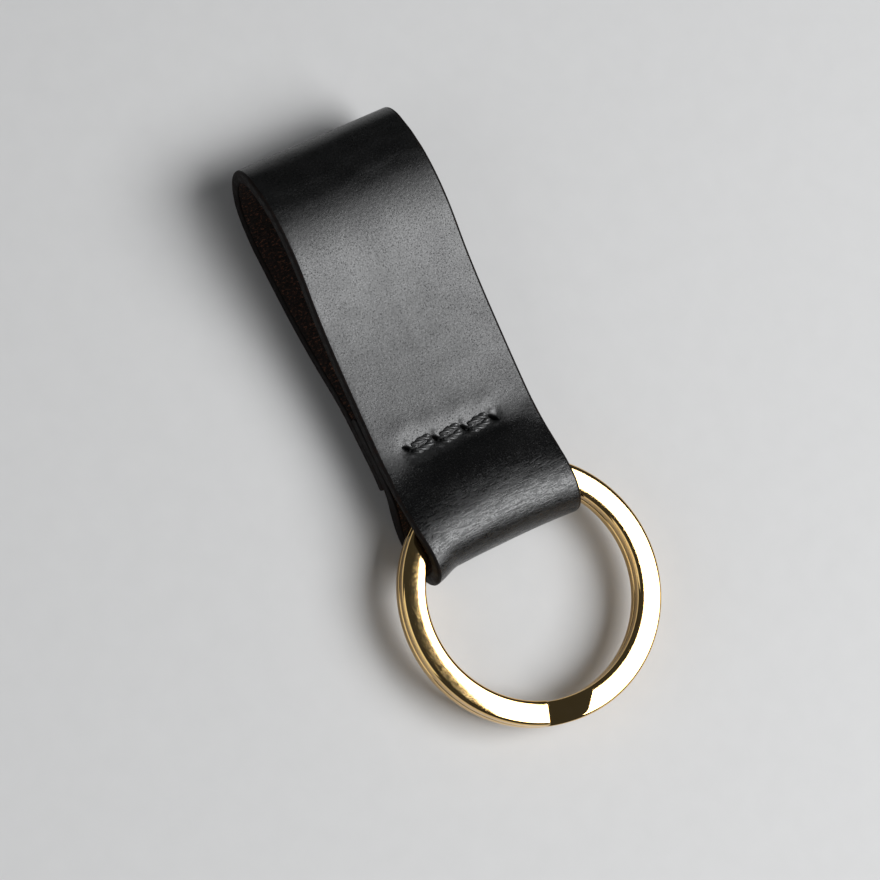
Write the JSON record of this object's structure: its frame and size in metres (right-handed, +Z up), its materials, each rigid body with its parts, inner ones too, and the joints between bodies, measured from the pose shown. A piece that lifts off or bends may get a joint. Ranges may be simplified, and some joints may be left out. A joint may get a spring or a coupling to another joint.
{
  "type": "leather key fob with split ring",
  "caption": "Folded leather strip sewn into a belt loop and a small eye that carries a flat split key ring.",
  "frame": {"origin": "on the table, under the middle of the whole fob", "axes": "+X across the strip, +Y along the fob towards the belt loop, +Z up, away from the table and out of the sewn front"},
  "size_m": [0.0324, 0.0764, 0.0124],
  "materials": {
    "leather": "smooth black leather with a low sheen and burnished edges",
    "thread": "waxed black twisted thread",
    "gold_wire": "polished yellow gold colour"
  },
  "bodies": {
    "strap": {"strap_belt_loop": "leather", "strap_neck": "leather", "seam_thread": "thread"},
    "ring_loop": {"strap_ring_loop": "leather"},
    "ring": {"split_ring": "gold_wire"}
  },
  "joints": [
    {"name": "neck_flex", "type": "hinge", "parent": "strap", "child": "ring_loop", "pos_m": [0, -0.0042, 0.0055], "axis": [1, 0, 0], "range_deg": [-45, 30], "stiffness_Nm_per_rad": 0.06, "deforming": ["strap_neck"]},
    {"name": "ring_spin", "type": "hinge", "parent": "ring_loop", "child": "ring", "pos_m": [0, -0.02195, 0.0048], "axis": [0, -0.0262, 0.9997], "continuous": true}
  ]
}
